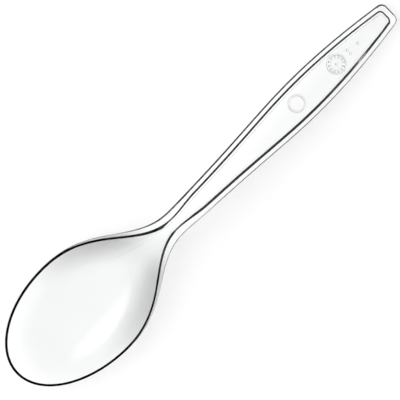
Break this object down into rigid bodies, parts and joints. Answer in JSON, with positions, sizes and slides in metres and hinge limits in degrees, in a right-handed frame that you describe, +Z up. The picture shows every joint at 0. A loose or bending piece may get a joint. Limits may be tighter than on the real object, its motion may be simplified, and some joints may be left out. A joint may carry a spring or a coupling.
{
  "type": "disposable plastic spoon",
  "caption": "Clear moulded disposable spoon with an oval bowl, a slim neck and a channelled handle with raised rims.",
  "frame": {"origin": "centre of the bounding box in plan, on the table that the spoon rests on", "axes": "+X from the tip of the bowl to the end of the handle, +Z up out of the bowl"},
  "size_m": [0.165, 0.0376, 0.0136],
  "materials": {
    "clear_plastic": "clear, polished mould finish"
  },
  "bodies": {
    "root": {"spoon": "clear_plastic"}
  },
  "joints": []
}
